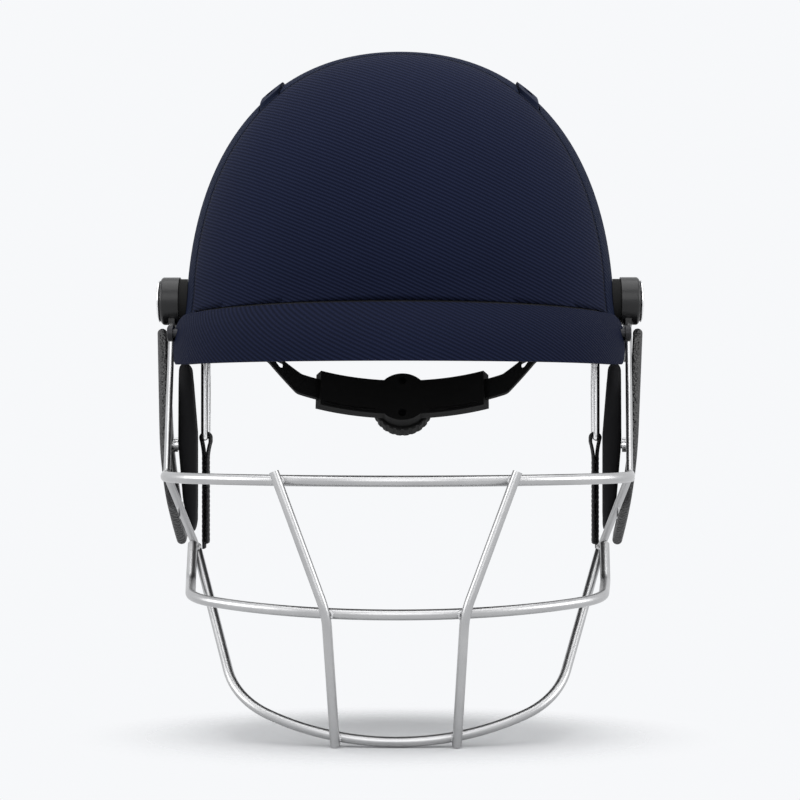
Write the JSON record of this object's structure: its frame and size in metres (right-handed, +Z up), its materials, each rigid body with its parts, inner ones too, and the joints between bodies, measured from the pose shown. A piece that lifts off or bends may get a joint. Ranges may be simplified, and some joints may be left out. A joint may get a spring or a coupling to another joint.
{
  "type": "cricket helmet",
  "caption": "Cloth-covered helmet with a peak, tilting welded wire face grille, padded ear guards, chin strap halves and a rear dial that draws a toothed head band in.",
  "frame": {"origin": "centre of the wearer's head", "axes": "+Z up, -Y towards the face, +X towards the wearer's left, which is the right of the picture"},
  "size_m": [0.2316, 0.295, 0.3051],
  "materials": {
    "shell_plastic": "matt moulded",
    "fabric_front": "navy twill",
    "fabric_sides": "navy twill",
    "rail_plastic": "satin moulded",
    "lining": "dark plain weave",
    "fabric_peak": "navy twill",
    "dark_screw": "black",
    "foam": "cloth-faced foam",
    "polished_steel": "polished",
    "black_matt": "matt moulded",
    "black_gloss": "gloss",
    "grille_wire": "polished",
    "guard_plastic": "pebbled",
    "ear_foam": "closed-cell foam",
    "dial_matt": "matt",
    "webbing": "woven webbing"
  },
  "bodies": {
    "helmet": {"shell": "shell_plastic", "cover_front": "fabric_front", "cover_crown": "fabric_sides", "cover_side_left": "fabric_sides", "cover_side_right": "fabric_sides", "vent_rail_left": "rail_plastic", "vent_rail_right": "rail_plastic", "rim_binding": "lining", "peak_cover": "fabric_peak", "peak_core": "shell_plastic", "peak_lining": "lining", "peak_binding": "fabric_peak", "peak_screws": "dark_screw", "crown_pad": "foam", "front_pad": "foam", "rear_pad": "foam", "side_pad_left": "foam", "side_pad_right": "foam", "pivot_bolt_left": "polished_steel", "pivot_bolt_right": "polished_steel", "pivot_cap_left": "polished_steel", "pivot_cap_right": "polished_steel", "pivot_washers": "black_matt", "strap_anchor_left": "black_matt", "strap_anchor_right": "black_matt", "strap_hanger_left": "polished_steel", "strap_hanger_right": "polished_steel", "adjuster_front": "black_matt", "adjuster_rear": "black_matt", "adjuster_screws": "dark_screw", "band_guide_left": "black_matt", "band_guide_right": "black_matt"},
    "grille": {"pivot_boss_left": "black_gloss", "pivot_boss_right": "black_gloss", "grille_top_bar": "grille_wire", "grille_middle_bar": "grille_wire", "grille_chin_bar": "grille_wire", "grille_upright_left": "grille_wire", "grille_upright_right": "grille_wire", "side_wire_left": "grille_wire", "side_wire_right": "grille_wire", "cheek_wire_left": "grille_wire", "cheek_wire_right": "grille_wire", "guard_lug_left": "grille_wire", "guard_lug_right": "grille_wire", "ear_guard_left": "guard_plastic", "ear_guard_right": "guard_plastic", "ear_pad_left": "ear_foam", "ear_pad_right": "ear_foam", "ear_guard_screws": "polished_steel"},
    "dial": {"dial_knob": "dial_matt", "drive_pinion": "black_matt", "dial_screw": "dark_screw"},
    "band_left": {"band_left": "black_matt"},
    "band_right": {"band_right": "black_matt"},
    "strap_left": {"strap_left": "webbing"},
    "strap_right": {"strap_right": "webbing"}
  },
  "joints": [
    {"name": "grille_tilt", "type": "hinge", "parent": "helmet", "child": "grille", "pos_m": [0, -0.003, 0.0465], "axis": [-1, 0, 0], "range_deg": [-4, 8]},
    {"name": "dial_turn", "type": "hinge", "parent": "helmet", "child": "dial", "pos_m": [0, 0.105, 0.0002], "axis": [0, -0.891, 0.454], "range_deg": [-150, 150]},
    {"name": "band_right_slide", "type": "hinge", "parent": "helmet", "child": "band_right", "pos_m": [0, 0.02659, 0.04015], "axis": [0, 0.454, 0.891], "range_deg": [-6.2, 6.2]},
    {"name": "band_left_slide", "type": "hinge", "parent": "helmet", "child": "band_left", "pos_m": [0, 0.02659, 0.04015], "axis": [0, 0.454, 0.891], "range_deg": [-6.2, 6.2]},
    {"name": "strap_right_swing", "type": "hinge", "parent": "helmet", "child": "strap_right", "pos_m": [0.093, 0.013, -0.018], "axis": [0, 1, 0], "range_deg": [0, 80]},
    {"name": "strap_left_swing", "type": "hinge", "parent": "helmet", "child": "strap_left", "pos_m": [-0.093, 0.013, -0.018], "axis": [0, -1, 0], "range_deg": [0, 80]}
  ],
  "couplings": [
    {"joint": "band_right_slide", "follows": "dial_turn", "ratio": 0.040909},
    {"joint": "band_left_slide", "follows": "dial_turn", "ratio": -0.040909}
  ]
}
